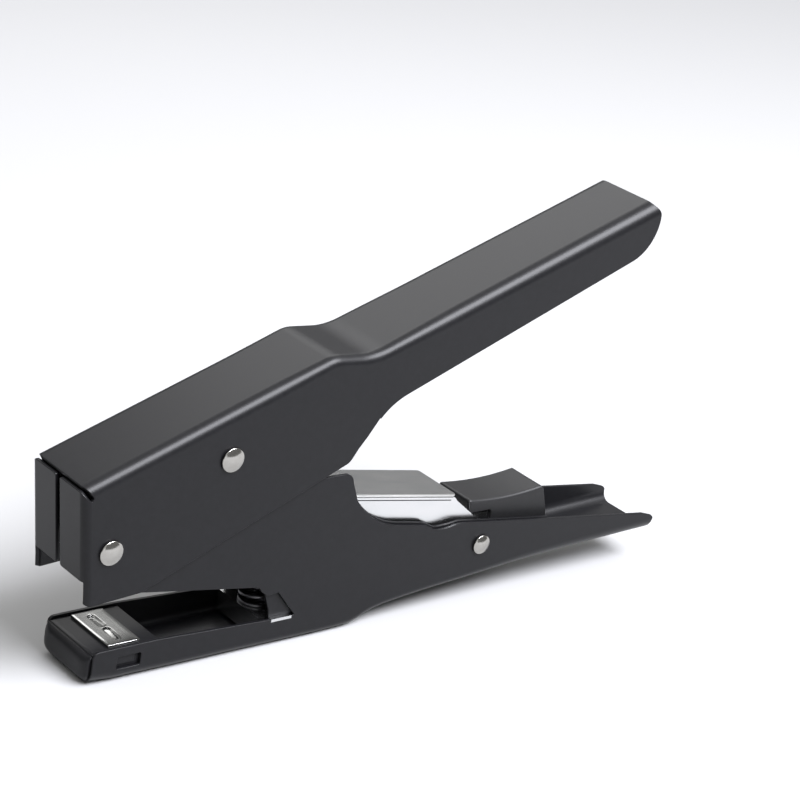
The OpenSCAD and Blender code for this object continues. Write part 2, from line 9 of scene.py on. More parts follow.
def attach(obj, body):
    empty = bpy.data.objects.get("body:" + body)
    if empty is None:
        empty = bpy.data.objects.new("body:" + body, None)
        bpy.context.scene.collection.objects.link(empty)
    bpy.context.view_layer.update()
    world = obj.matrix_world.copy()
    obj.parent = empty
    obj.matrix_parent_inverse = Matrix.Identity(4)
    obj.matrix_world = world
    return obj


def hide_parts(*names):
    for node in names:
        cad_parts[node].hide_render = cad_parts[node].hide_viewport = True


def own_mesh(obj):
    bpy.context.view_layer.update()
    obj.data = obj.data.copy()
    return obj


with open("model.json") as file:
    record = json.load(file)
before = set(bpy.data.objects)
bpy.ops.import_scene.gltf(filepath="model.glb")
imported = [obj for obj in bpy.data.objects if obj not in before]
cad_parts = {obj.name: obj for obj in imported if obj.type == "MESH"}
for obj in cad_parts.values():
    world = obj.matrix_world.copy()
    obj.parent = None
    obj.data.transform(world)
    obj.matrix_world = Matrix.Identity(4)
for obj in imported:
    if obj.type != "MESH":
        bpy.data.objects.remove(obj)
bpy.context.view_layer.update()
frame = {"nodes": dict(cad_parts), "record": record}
nodes = frame["nodes"]

# Lengths below are millimetres from a datum on the jaw's underside; P() turns them into the
# frame's metres. The datum lies this far along X from the frame's origin.
MM = 0.001
DATUM_X = -88.2655


def P(x, y, z):
    return Vector(((x + DATUM_X) * MM, y * MM, z * MM))


# ---------------------------------------------------------------- camera

cam_data = bpy.data.cameras.new("camera")
cam_data.sensor_width = 36.0
cam_data.lens = 111.34
cam_data.shift_x = 0.0049
cam_data.shift_y = -0.0195
cam_data.clip_end = 20
cam = bpy.data.objects.new("camera", cam_data)
bpy.context.scene.collection.objects.link(cam)
right = Vector((0.7692882664, -0.6204447264, 0.1524595179))
down = Vector((-0.1216746618, -0.3765336511, -0.9183777471))
ahead = Vector((0.6272087690, 0.6879467647, -0.3651553219))
turn = Matrix((right, -down, -ahead)).transposed()
cam.matrix_world = Matrix.Translation(P(-315.7835, -445.1696, 300.1135)) @ turn.to_4x4()
bpy.context.scene.camera = cam

# ---------------------------------------------------------------- light and floor

bpy.context.scene.view_settings.view_transform = "Standard"
world = bpy.data.worlds.new("studio")
bpy.context.scene.world = world
world.use_nodes = True


def sky(low, high):
    """A grey horizon that turns to a bright ceiling."""
    n, l = world.node_tree.nodes, world.node_tree.links
    tc = n.new("ShaderNodeTexCoord")
    split = n.new("ShaderNodeSeparateXYZ")
    l.new(tc.outputs["Generated"], split.inputs[0])
    mr = n.new("ShaderNodeMapRange")
    mr.interpolation_type = "SMOOTHSTEP"
    mr.inputs["From Min"].default_value = 0.3
    mr.inputs["From Max"].default_value = 0.75
    mr.inputs["To Min"].default_value = low
    mr.inputs["To Max"].default_value = high
    l.new(split.outputs["Z"], mr.inputs["Value"])
    l.new(mr.outputs["Result"], n["Background"].inputs["Strength"])
    n["Background"].inputs["Color"].default_value = (1, 1, 1, 1)


sky(0.25, 1.1)


def soft_box(name, direction, distance, size, radiance, tint=(1, 1, 1)):
    """A rectangular light that shines on the stapler from a direction."""
    aim = Vector((0, 0, 0.05))
    toward = Vector(direction).normalized()
    data = bpy.data.lights.new(name, "AREA")
    data.shape = "RECTANGLE"
    data.size, data.size_y = size
    data.energy = radiance * size[0] * size[1] * math.pi
    data.color = tint
    o = bpy.data.objects.new(name, data)
    bpy.context.scene.collection.objects.link(o)
    o.location = aim + toward * distance
    o.rotation_euler = (-toward).to_track_quat("-Z", "Y").to_euler()
    return o


soft_box("top_box", (0.36, 0.62, 0.70), 0.66, (0.4, 0.3), 2.6)
soft_box("edge_box", (0.213, -0.553, 0.806), 1.5, (1.3, 0.8), 24, (0.93, 0.94, 1))

floor = bpy.data.meshes.new("floor")
floor.from_pydata([(-3, -3, 0), (3, -3, 0), (3, 3, 0), (-3, 3, 0)], [], [(0, 1, 2, 3)])
floor_o = bpy.data.objects.new("floor", floor)
floor_o.location.z = -0.0004
bpy.context.scene.collection.objects.link(floor_o)

# ---------------------------------------------------------------- materials


# How far a surface's roughness varies to each side
ROUGH_RANGE = 0.03


def shader(name):
    m = bpy.data.materials.new(name)
    m.use_nodes = True
    return m, m.node_tree.nodes, m.node_tree.links, m.node_tree.nodes["Principled BSDF"]


def noise(n, scale, detail=3.0, rough=0.5):
    t = n.new("ShaderNodeTexNoise")
    t.inputs["Scale"].default_value = scale
    t.inputs["Detail"].default_value = detail
    t.inputs["Roughness"].default_value = rough
    return t


def ramp(n, low, high, at=(0.3, 0.7)):
    r = n.new("ShaderNodeValToRGB")
    r.color_ramp.elements[0].position, r.color_ramp.elements[1].position = at
    r.color_ramp.elements[0].color = (*low, 1)
    r.color_ramp.elements[1].color = (*high, 1)
    return r


def surface(name, low, high, metal, rough, scale, bump, gloss=0.5, stretch=(1, 1, 1)):
    """A surface whose colour, roughness and height all vary a little with noise."""
    m, n, l, b = shader(name)
    tc = n.new("ShaderNodeTexCoord")
    mp = n.new("ShaderNodeMapping")
    mp.inputs["Scale"].default_value = stretch
    l.new(tc.outputs["Object"], mp.inputs["Vector"])
    broad = noise(n, scale)
    l.new(mp.outputs[0], broad.inputs["Vector"])
    tint = ramp(n, low, high)
    l.new(broad.outputs["Fac"], tint.inputs["Fac"])
    l.new(tint.outputs["Color"], b.inputs["Base Color"])
    mr = n.new("ShaderNodeMapRange")
    mr.inputs["To Min"].default_value = rough - ROUGH_RANGE
    mr.inputs["To Max"].default_value = rough + ROUGH_RANGE
    l.new(broad.outputs["Fac"], mr.inputs["Value"])
    l.new(mr.outputs["Result"], b.inputs["Roughness"])
    b.inputs["Metallic"].default_value = metal
    b.inputs["Specular IOR Level"].default_value = gloss
    if bump:
        bm = n.new("ShaderNodeBump")
        bm.inputs["Strength"].default_value = bump
        bm.inputs["Distance"].default_value = 0.00004
        fine = noise(n, scale * 5, 2)
        l.new(mp.outputs[0], fine.inputs["Vector"])
        l.new(fine.outputs["Fac"], bm.inputs["Height"])
        l.new(bm.outputs[0], b.inputs["Normal"])
    return m


# Per slot: low and high colour, metallic, roughness, noise scale, bump, gloss
MATS = {
    "steel_black": surface(
        "coated_steel", (0.005, 0.005, 0.0058), (0.0064, 0.0064, 0.0074), 0.0, 0.35, 700, 0.1, 0.23
    ),
    "chrome_plate": surface(
        "chrome", (0.36, 0.36, 0.35), (0.42, 0.42, 0.41), 1.0, 0.17, 300, 0.04, stretch=(1, 0.1, 1)
    ),
    "nickel_rivet": surface(
        "nickel", (0.36, 0.35, 0.325), (0.42, 0.41, 0.385), 1.0, 0.15, 500, 0.05
    ),
    "zinc_sheet": surface(
        "zinc", (0.66, 0.67, 0.67), (0.72, 0.72, 0.72), 1.0, 0.24, 400, 0.04, stretch=(0.2, 1, 1)
    ),
    "staple_wire": surface("staple_wire", (0.6, 0.6, 0.6), (0.7, 0.7, 0.7), 1.0, 0.3, 600, 0.05),
    "spring_wire": surface(
        "spring_wire", (0.16, 0.16, 0.17), (0.24, 0.24, 0.25), 1.0, 0.3, 500, 0.03
    ),
    "knob_plastic": surface(
        "knob_plastic", (0.009, 0.009, 0.0095), (0.012, 0.012, 0.0125), 0.0, 0.42, 1400, 0.2, 0.3
    ),
}
slot_of = {s["node"]: s["material_slot"] for s in frame["record"]["subparts"]}
for name, o in nodes.items():
    o.data.materials.clear()
    o.data.materials.append(MATS[slot_of[name]])

m, n, l, b = shader("floor_white")
b.inputs["Roughness"].default_value = 0.9
t = noise(n, 3)
r = ramp(n, (0.36, 0.36, 0.36), (0.375, 0.375, 0.375))
l.new(t.outputs["Fac"], r.inputs["Fac"])
l.new(r.outputs["Color"], b.inputs["Base Color"])
floor.materials.append(m)

# ---------------------------------------------------------------- mesh helpers


def arc(cx, cz, r, start, stop, steps=8):
    """Points of an arc in the XZ plane, angles in degrees."""
    return [
        (
            cx + r * math.cos(math.radians(start + (stop - start) * i / steps)),
            cz + r * math.sin(math.radians(start + (stop - start) * i / steps)),
        )
        for i in range(steps + 1)
    ]


def piece(name, bm, node, thickness=0.0, bevel=0.15, segments=2, angle=38):
    """Turns a bmesh into the piece that stands for a CAD node and rides on its body."""
    mesh = bpy.data.meshes.new(name)
    bm.to_mesh(mesh)
    bm.free()
    for p in mesh.polygons:
        p.use_smooth = True
    o = bpy.data.objects.new(name, mesh)
    bpy.context.scene.collection.objects.link(o)
    if thickness:
        s = o.modifiers.new("sheet", "SOLIDIFY")
        s.thickness = thickness * MM
        s.offset = -1
        s.use_even_offset = True
    if bevel:
        v = o.modifiers.new("edges", "BEVEL")
        v.width = bevel * MM
        v.segments = segments
        v.limit_method = "ANGLE"
        v.angle_limit = math.radians(angle)
        v.use_clamp_overlap = False
    w = o.modifiers.new("normals", "WEIGHTED_NORMAL")
    w.keep_sharp = True
    mesh.materials.append(MATS[slot_of[node]])
    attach(o, body_of(node))
    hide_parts(node)
    return o


def body_of(node):
    bodies = frame["record"]["behaviour"]["bodies"]
    return next(body for body in bodies if node in bodies[body])


def face(bm, verts):
    """A face over vertices, leaving out repeats of the same vertex."""
    seen = []
    for v in verts:
        if v not in seen:
            seen.append(v)
    return bm.faces.new(seen) if len(seen) > 2 else None


# ---------------------------------------------------------------- upper lever

# The top line's three slopes, and the corners between its runs
HEAD, STEP, HANDLE = (math.radians(a) for a in (19.5, -4.3, 19.8))
NOSE = Vector((-11.8, 55.08))
CREST = Vector((58.6, 55.08 + 70.4 * math.tan(HEAD)))
SADDLE = Vector((71.5, CREST.y + 12.9 * math.tan(STEP)))
LEVER_HALF = 12.0
SHEET = 1.0
CREST_R, SADDLE_R = 10.0, 22.0
LEVER_END_X = 162.2
# The front leans: its top stands further forward than its foot. Its upright corners are rounded,
# and the top's own front edge lies a little behind the tabs
FRONT = Vector((-12.2, 53.0))
FRONT_LEAN = math.tan(math.radians(7))
FRONT_R = 2.2
HOOD_GAP = 0.6
HOOD_CORNER_Y, HOOD_CORNER_BACK = 6.5, 2.3
HOOD_BEND_R = 3.2
# The handle's rounded rear end
END_C = Vector((160.8, 107.8))
END_R = 4.4
END_CORNER = 1.6


def fillet(p, before_slope, after_slope, radius, steps):
    """Stations of a curve that rounds the corner p between two slopes."""
    half = abs(after_slope - before_slope) / 2
    back = radius * math.tan(half)
    first = p - Vector((math.cos(before_slope), math.sin(before_slope))) * back
    side = 1 if after_slope > before_slope else -1
    c = first + Vector((-math.sin(before_slope), math.cos(before_slope))) * radius * side
    rows = []
    for i in range(steps + 1):
        a = before_slope + (after_slope - before_slope) * i / steps
        rows.append((c - Vector((-math.sin(a), math.cos(a))) * radius * side, a))
    return rows


def straight(p, q, slope, steps):
    """Stations between two points, without the ends."""
    return [(p.lerp(q, i / steps), slope) for i in range(1, steps)]


def lever_stations():
    """Points along the lever's top line, each with the slope there."""
    crest = fillet(CREST, HEAD, STEP, CREST_R, 8)
    saddle = fillet(SADDLE, STEP, HANDLE, SADDLE_R, 12)
    reach = (LEVER_END_X - SADDLE.x) / math.cos(HANDLE)
    end = SADDLE + Vector((math.cos(HANDLE), math.sin(HANDLE))) * reach
    rows = [(NOSE, HEAD)] + straight(NOSE, crest[0][0], HEAD, 16) + crest
    rows += straight(crest[-1][0], saddle[0][0], STEP, 3) + saddle
    rows += straight(saddle[-1][0], end, HANDLE, 22) + [(end, HANDLE)]
    return rows


def ease(x, stops):
    """A value that follows (x, value) stops with smooth steps between them."""
    for (x0, v0), (x1, v1) in zip(stops, stops[1:]):
        if x <= x1:
            t = min(max((x - x0) / (x1 - x0), 0), 1)
            return v0 + (v1 - v0) * t * t * (3 - 2 * t)
    return stops[-1][1]


def lever_bend(x):
    """The outer radius of the bend between the top and the side plates."""
    stops = [(-12, HOOD_BEND_R), (40, HOOD_BEND_R), (60, 2.7), (74, 2.8), (100, 3.5), (160, 3.9)]
    return ease(x, stops)


def front_setback(y):
    """How far the top's front edge curves back towards its two corners."""
    out = min(max(abs(y) - HOOD_CORNER_Y, 0) / (LEVER_HALF - HOOD_CORNER_Y), 1)
    return HOOD_CORNER_BACK * (1 - math.sqrt(1 - out**2))


def hood_front(depth, y):
    """Distance along the head's slope, from the nose, at which its front edge lies."""
    s, c = math.sin(HEAD), math.cos(HEAD)
    level = FRONT.x + HOOD_GAP - NOSE.x + (FRONT.y - NOSE.y + depth * c) * FRONT_LEAN
    return (level + front_setback(y) - depth * s) / (c + s * FRONT_LEAN)


def hood_end(depth, start):
    """Distance along the handle's slope, from a station, at which the rounded rear end lies."""
    along = Vector((math.cos(HANDLE), math.sin(HANDLE)))
    normal = Vector((-along.y, along.x))
    drop = (start - END_C).dot(normal) - depth
    return (END_C - start).dot(along) + math.sqrt(max(END_R**2 - drop**2, 0.01))


def upper_lever():
    """The folded sheet: top and bends as rings along the top line, then the two side plates."""
    bend_steps = 9
    bm = bmesh.new()
    rows = lever_stations()
    rings = []
    for i, (p, slope) in enumerate(rows):
        along = Vector((math.cos(slope), math.sin(slope)))
        normal = Vector((-along.y, along.x))
        r = lever_bend(p.x)
        ring = []
        for side in (-1, 1):
            half = []
            for k in range(bend_steps + 1):
                a = math.radians(90 * k / bend_steps)
                y = LEVER_HALF - r + r * math.cos(a)
                depth = r * (1 - math.sin(a))
                q = p - normal * depth
                if i == 0:
                    q += along * hood_front(depth, y)
                if i == len(rows) - 1:
                    corner = END_CORNER * math.cos(a) ** 2 * math.sin(a) ** 3
                    q += along * (hood_end(depth, p) - corner)
                half.append(bm.verts.new(P(q.x, side * y, q.y)))
            ring += half if side < 0 else half[::-1]
        rings.append(ring)
    for a, b in zip(rings, rings[1:]):
        for j in range(len(a) - 1):
            top = bm.faces.new((a[j], a[j + 1], b[j + 1], b[j]))
            if j == bend_steps:
                crown = top
    lower = rear_and_underside()
    for side in (-1, 1):
        column = 0 if side < 0 else -1
        upper = [ring[column] for ring in rings]
        edge = [bm.verts.new(P(x, side * LEVER_HALF, z)) for x, z in lower]
        strip = front_strip(bm, side)
        face(bm, (upper + edge + strip) if side > 0 else (upper + edge + strip)[::-1])
    bmesh.ops.recalc_face_normals(bm, faces=bm.faces[:])
    bm.normal_update()
    if crown.normal.z < 0:
        bmesh.ops.reverse_faces(bm, faces=bm.faces[:])
    return piece("upper_lever_shell", bm, "upper_lever", SHEET, 0.2, 2)


def rear_and_underside():
    """The side plates' outline from the rounded rear end, forward to the front corner."""
    heel = arc(152.6, 107.6, 12.6, -2, -68, 14)
    inner = arc(90.8, 49.2, 18.8, 112, 141.5, 8)
    knee = arc(65.6, 52.8, 3.6, -36, -67, 5)
    return heel + inner + [(75.9, 61.2), (72.6, 56.4), (70.3, 53.5)] + knee + [
        (38, 37.2), (9.5, 25.1), (8.6, 24.7), (7.6, 24.4),
    ]


def front_x(z):
    """Where the leaning front plane lies at a height."""
    return FRONT.x + (FRONT.y - z) * FRONT_LEAN


def front_strip(bm, side):
    """The front: an upright bend, the tab folded in from the side plate, and the leg below it.

    Returns the vertices of the bend's rear edge, which the side plate shares, from the bottom up.
    """
    tab_top, tab_bottom = 54.0, 29.9
    leg_c, leg_r = Vector((-6.6, 26.3)), 2.95
    slit = 0.9
    round_r = 0.6
    columns = []
    # The leg below the tab follows only the outer part of the bend
    steps = 6
    leg_steps = 5
    for k in range(steps + 1):
        a = math.radians(90 * k / steps)
        y = side * (LEVER_HALF - FRONT_R + FRONT_R * math.cos(a))
        back = FRONT_R * (1 - math.sin(a))
        # The bend's top edge keeps a small gap below the top's own bend
        past = max(abs(y) - LEVER_HALF + HOOD_BEND_R, 0)
        drop = HOOD_BEND_R - math.sqrt(HOOD_BEND_R**2 - past**2)
        bend_top = tab_top + 0.2 - drop + 0.35 * back
        column = [(front_x(z) + back, z) for z in (bend_top, 44, 37, tab_bottom)]
        if k < leg_steps:
            x = front_x(25) + back
            column += [(front_x(27.5) + back, 27.5)]
            column += [(x, leg_c.y - math.sqrt(max(leg_r**2 - (x - leg_c.x) ** 2, 0)))]
        columns.append([bm.verts.new(P(x, y, z)) for x, z in column])
    for a, b in zip(columns, columns[1:]):
        for i in range(min(len(a), len(b)) - 1):
            bm.faces.new((a[i], b[i], b[i + 1], a[i + 1]))
    # The tab's outline from its bottom corner at the bend, along the slit and back over the top
    inner = LEVER_HALF - FRONT_R
    shape = [(slit + 0.4, tab_bottom), (slit, tab_bottom + 0.4)]
    shape += [(y, z) for y, z in arc(slit + round_r, tab_top - round_r, round_r, 180, 90, 4)]
    shape.append((inner - 0.5, tab_top))
    tab = [bm.verts.new(P(front_x(z), side * y, z)) for y, z in shape]
    face(bm, columns[-1] + tab)
    return columns[0][::-1]


# ---------------------------------------------------------------- lower lever

LOWER_HALF = 10.8
JAW_LINE = [(-3.2, 0), (-1, 0), (3, 0), (7.5, 0), (12, 0)]
UNDER = [(20, 0), (50, 0), (76.6, 0), (80.6, 1.1), (84.2, 2.7), (88.6, 3.7)]
UNDER += [(98.6, 4.8), (115, 6.1), (148.6, 7.9), (186.3, 8.93)]
FULCRUM = Vector((-2.9, 37.4))
PUSH = Vector((29.8, 56.8))
PIVOT = Vector((120.6, 16.8))
CAP_CORNER = 3.9


def cut_corners(points, rounds=2):
    """A smoother line through a chain of points, with its two ends kept."""
    for _ in range(rounds):
        out = [points[0]]
        for (x0, z0), (x1, z1) in zip(points, points[1:]):
            out += [(x0 * (1 - t) + x1 * t, z0 * (1 - t) + z1 * t) for t in (0.25, 0.75)]
        points = out + [points[-1]]
    return points


def lower_bend(x):
    """The outer radius of the bend between the web and the side plates."""
    return ease(x, [(-3.2, 4.1), (3, 3), (30, 2.6), (70, 2.2), (110, 2.4), (150, 3.8), (186, 4)])


def plate_outline():
    """The lower lever's plates, from the tail's rounded end forward to the jaw's top."""
    tail = arc(186.3, 11.6, 2.75, 36, 60, 3)
    tail += [(183.8, 15.2), (150, 19.6), (112, 24.5), (110, 24.35), (108, 24)]
    dip = [(106.5, 23.9), (104.6, 23.9), (103, 24.15), (101.4, 24.9), (99.8, 25.75), (98.2, 26.2)]
    dip += arc(94.2, 52.5, 25.2, 258, 216, 12)
    hump = [(71.6, 43)] + arc(68.4, 42.8, 3.2, 30, 95, 5)
    hump += [(57, 46.2), (45, 39.6), (20, 39.6), (4, 42.4)]
    finger = arc(FULCRUM.x, FULCRUM.y, 5.4, 60, 215, 12)
    finger += [(2.5, 24.6), (44.6, 18)] + arc(44.3, 16, 2, 80, 15, 4)
    notch = [(48.4, 14.9), (52, 15.2), (58.3, 7.6), (57.45, 7.5), (57.45, 6.7)]
    notch += [(50.85, 6.7), (50.85, 7.6), (16, 9.2)]
    return tail + dip + hump + finger + notch


def lower_lever():
    """The folded sheet: web and bends as rings along the underside, then the side plates.

    Each plate is two faces that meet above and below the jaw's window, at window_mid.
    """
    bend_steps = 8
    window_mid = 7.5
    tail_reach, tail_round = 1.9, 0.5
    bm = bmesh.new()
    line = JAW_LINE + cut_corners(UNDER)
    split = line.index((window_mid, 0))
    rings = []
    for i, (x, z) in enumerate(line):
        (x0, z0), (x1, z1) = line[max(i - 1, 0)], line[min(i + 1, len(line) - 1)]
        along = Vector((x1 - x0, z1 - z0)).normalized()
        normal = Vector((-along.y, along.x))
        r = lower_bend(x)
        ring = []
        for side in (-1, 1):
            half = []
            for k in range(bend_steps + 1):
                a = math.radians(90 * k / bend_steps)
                q = Vector((x, z)) + normal * r * (1 - math.sin(a))
                if i == len(line) - 1:
                    q += along * (tail_reach + tail_round * (1 - math.sin(a)))
                half.append(bm.verts.new(P(q.x, side * (LOWER_HALF - r + r * math.cos(a)), q.y)))
            ring += half if side < 0 else half[::-1]
        rings.append(ring)
    for a, b in zip(rings, rings[1:]):
        for j in range(len(a) - 1):
            bm.faces.new((a[j], a[j + 1], b[j + 1], b[j]))
    for side in (-1, 1):
        column = 0 if side < 0 else -1
        low = [ring[column] for ring in rings]

        def make(points):
            return [bm.verts.new(P(x, side * LOWER_HALF, z)) for x, z in points]

        top = make(plate_outline())
        nose = make([(1, 9.25)] + arc(-1.6, 7.6, 1.6, 90, 180, 5))
        seam, under, over = make([(window_mid, z) for z in (9.25, 3.3, 6.7)])
        window_front = make([(4.3, 3.3), (4, 3.6), (4, 6.4), (4.3, 6.7)])
        window_rear = make([(10.7, 6.7), (11, 6.4), (11, 3.6), (10.7, 3.3)])
        bm.faces.new(low[: split + 1] + [under] + window_front + [over, seam] + nose)
        bm.faces.new(low[split:] + top + [seam, over] + window_rear + [under])
    bmesh.ops.recalc_face_normals(bm, faces=bm.faces[:])
    bm.normal_update()
    if rings_face_up(rings):
        bmesh.ops.reverse_faces(bm, faces=bm.faces[:])
    return piece("lower_lever_shell", bm, "lower_lever", SHEET, 0.2, 2)


def rings_face_up(rings):
    """Whether the web under the middle of the lever looks up, so that the skin is inside out."""
    v = rings[len(rings) // 2][len(rings[0]) // 2]
    flat = max(v.link_faces, key=lambda f: f.calc_area())
    return flat.normal.z > 0


# ---------------------------------------------------------------- flat plates


def extrude(bm, points, y0, y1):
    """A solid plate with an XZ outline between two Y planes."""
    near = [bm.verts.new(P(x, y0, z)) for x, z in points]
    far = [bm.verts.new(P(x, y1, z)) for x, z in points]
    bm.faces.new(near)
    bm.faces.new(far[::-1])
    for i in range(len(points)):
        j = (i + 1) % len(points)
        bm.faces.new((near[j], near[i], far[i], far[j]))


def finished(bm):
    """A closed mesh with its faces turned outward."""
    bmesh.ops.recalc_face_normals(bm, faces=bm.faces[:])
    return bm


def inner_channel():
    """The second channel: two plates inside the lower lever's own, and their web."""
    bm = bmesh.new()
    outline = [(51, 2), (75, 2), (78.2, 4), (84, 7.5), (98.4, 9.4), (146, 11.4), (146, 20.3)]
    outline += [(118, 24), (112, 24.9), (108, 24.5), (104.6, 24.4), (103, 24.65)]
    outline += [(101.4, 25.4), (99.8, 26.25), (98.2, 26.7)] + arc(94.2, 53, 25.2, 258, 218, 12)
    outline += [(72, 42), (69, 44), (58, 43), (50, 34), (46, 24), (46, 17.2)]
    outline += [(48.4, 14.9), (50.3, 10)]
    for side in (-1, 1):
        extrude(bm, outline, side * 9.75, side * 8.95)
    extrude(bm, [(51, 1.06), (75, 1.06), (75, 1.86), (51, 1.86)], -9.2, 9.2)
    piece("inner_channel_plates", finished(bm), "inner_channel", 0, 0.12, 2)


# ---------------------------------------------------------------- anvil


def anvil_block():
    """The cap folded over the jaw's front, its top strip and its two flanges."""
    bm = bmesh.new()
    # Half width, half width of the flat middle, how far the rounded sides fall back, rear plane
    half, core, depth, rear = 10.3, 6.7, 1.75, -3.25
    curve = arc(-2, 3, 3, 265, 180, 8) + [(-5, 4.2)] + arc(-2, 5.5, 3, 180, 92, 8)
    outline = [(rear, 0.28), (rear, 0.02)] + [(x, z) for x, z in curve if x <= rear]
    outline.append((rear, 8.22))
    ys = [-half + i * (half - core) / 8 for i in range(8)] + [-core, -3, 0, 3, core]
    ys += [core + i * (half - core) / 8 for i in range(1, 9)]
    grid = []
    for x, z in outline:
        row = []
        for y in ys:
            out = min(max(abs(y) - core, 0) / (half - core), 1)
            back = depth * (1 - math.sqrt(1 - out * out))
            share = (rear - x) / depth
            low = max(CAP_CORNER - z, 0)
            width = half - CAP_CORNER + math.sqrt(CAP_CORNER**2 - low**2)
            row.append(bm.verts.new(P(x + back * share, y * width / half, z)))
        grid.append(row)
    for a, b in zip(grid, grid[1:]):
        for j in range(len(ys) - 1):
            bm.faces.new((a[j], b[j], b[j + 1], a[j + 1]))
    rim = grid[0] + [row[-1] for row in grid[1:]]
    rim += grid[-1][-2::-1] + [row[0] for row in grid[-2:0:-1]]
    bm.faces.new(rim)
    piece("anvil_cap", finished(bm), "anvil_block", 0, 0)
    bm = bmesh.new()
    strip = [(16.8, 8.5), (16.8, 7.3), (-2.2, 7.3), (-3.2, 6.9), (-3.2, 8.25)]
    strip += arc(-2, 5.5, 3, 108, 90, 2)
    flange = [(-3.1, 1.1), (16.8, 1.1), (16.8, 7.4), (-3.1, 7.4)]
    lug = [(4.15, 4.25), (9.45, 4.25), (9.45, 6.55), (4.15, 6.55)]
    extrude(bm, strip, -9.72, 9.72)
    for side in (-1, 1):
        extrude(bm, flange, side * 9.72, side * 8.5)
        extrude(bm, lug, side * 9.6, side * 10.1)
    piece("anvil_strip", finished(bm), "anvil_block", 0, 0.15, 2)


def anvil_plate():
    """The bright plate, with two clinching grooves pressed into its top."""
    bm = bmesh.new()
    x0, x1, half, top, bottom = 2.3, 11.6, 8.7, 9.3, 8.5
    groove_x, groove_y, reach, width = 6.6, 3.55, 3.3, 1.2
    xs = [x0, 3.2, 4.4] + [5.2 + 0.2 * i for i in range(15)] + [8.8, 10.4, x1]
    ys = [-half, -8.2] + [-7.6 + 0.2 * i for i in range(77)] + [8.2, half]

    def sink(x, y):
        """The groove's depth at a point: deeper at its outer end."""
        along = abs(abs(y) - groove_y)
        out = math.hypot(x - groove_x, max(along - reach + width, 0)) / width
        end = min(max((abs(y) - 0.6) / 5.2, 0), 1)
        return 0 if out >= 1 else (0.35 + 0.4 * end) * (1 - out**6)

    grid = [[bm.verts.new(P(x, y, top - sink(x, y))) for y in ys] for x in xs]
    for a, b in zip(grid, grid[1:]):
        for j in range(len(ys) - 1):
            bm.faces.new((a[j], b[j], b[j + 1], a[j + 1]))
    border = [r[0] for r in grid] + grid[-1][1:]
    border += [r[-1] for r in grid[::-1]][1:] + grid[0][::-1][1:-1]
    base = [bm.verts.new(v.co - Vector((0, 0, (top - bottom) * MM))) for v in border]
    for i in range(len(border)):
        j = (i + 1) % len(border)
        bm.faces.new((border[i], border[j], base[j], base[i]))
    bm.faces.new(base)
    piece("anvil_plate_face", finished(bm), "anvil_plate", 0, 0.12, 2, 60)


# ---------------------------------------------------------------- magazine


TRACK_TILT, COVER_TILT = math.radians(3), math.radians(9.3)
COVER = Vector((100, 34))


def tilted(origin, a, u, y, w):
    """A point given along, across and above a line that falls rearward by an angle."""
    x = origin.x + u * math.cos(a) + w * math.sin(a)
    return P(x, y, origin.y - u * math.sin(a) + w * math.cos(a))


def on_track(u, y, w):
    """A point in the staple track's own directions, from the pivot."""
    return tilted(PIVOT, TRACK_TILT, u, y, w)


def on_cover(u, y, w):
    """A point in the cover's own directions."""
    return tilted(COVER, COVER_TILT, u, y, w)


def magazine_cover():
    """The bright top plate: one section of flat, bend and fold, drawn to rounded rear corners."""
    bm = bmesh.new()
    s0, s1, half, corner, bend, fold = -40.4, 11, 8.9, 2, 1, 1.6
    section = [(half, fold)]
    for a in (math.radians(d) for d in range(0, 91, 15)):
        section.append((half - bend + bend * math.cos(a), bend * (1 - math.sin(a))))
    section += [(half - bend - 0.35 * i, 0) for i in range(1, 4)]
    full = [(-y, d) for y, d in section] + [(0, 0)] + section[::-1]

    def last(y):
        """Where the rear edge lies at a width."""
        out = max(abs(y) - (half - corner), 0)
        return s1 - corner + math.sqrt(max(corner**2 - out**2, 0))

    rows = []
    for t in (0, 0.3, 0.6, 0.72, 0.8, 0.9, 1):
        rows.append([bm.verts.new(on_cover(s0 + (last(y) - s0) * t, y, -d)) for y, d in full])
    for a, b in zip(rows, rows[1:]):
        for j in range(len(full) - 1):
            bm.faces.new((a[j], a[j + 1], b[j + 1], b[j]))
    bm.normal_update()
    bm.faces.ensure_lookup_table()
    if bm.faces[len(full) // 2].normal.z < 0:
        bmesh.ops.reverse_faces(bm, faces=bm.faces[:])
    sheet = piece("magazine_cover_sheet", bm, "magazine_cover", 0.8, 0.1)
    # The zinc gets a painted shade line low on the fold, for the shadow between the fold and the
    # wall
    sheet.data.materials[0] = with_painted_seam_shade(MATS["zinc_sheet"], 1.25, fold)


